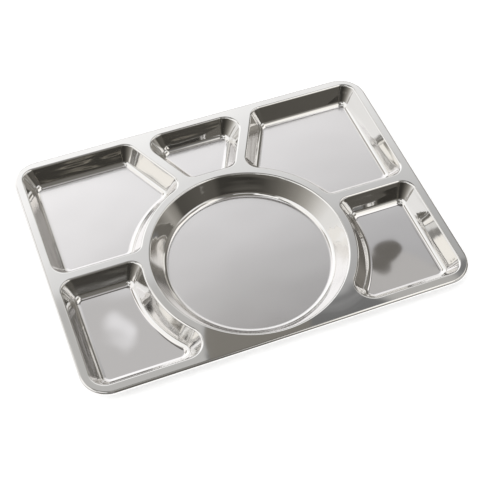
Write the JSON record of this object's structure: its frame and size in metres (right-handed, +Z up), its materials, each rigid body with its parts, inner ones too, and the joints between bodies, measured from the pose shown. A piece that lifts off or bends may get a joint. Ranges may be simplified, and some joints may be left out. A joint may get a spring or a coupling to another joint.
{
  "type": "compartment plate",
  "caption": "Shallow rectangular serving plate pressed from sheet steel, with a round well at the front, corner wells and a small centre well around it, flat webs and a rolled edge.",
  "frame": {"origin": "middle of the tray's outline, on the plane that the undersides of the well floors rest on", "axes": "+X to the tray's right along its long side, +Y to its rear, +Z up out of the wells"},
  "size_m": [0.394, 0.292, 0.02],
  "materials": {
    "stainless_steel": "polished"
  },
  "bodies": {
    "root": {"deck": "stainless_steel", "round_well": "stainless_steel", "rear_left_well": "stainless_steel", "rear_centre_well": "stainless_steel", "rear_right_well": "stainless_steel", "front_left_well": "stainless_steel", "front_right_well": "stainless_steel", "rolled_rim": "stainless_steel"}
  },
  "joints": []
}
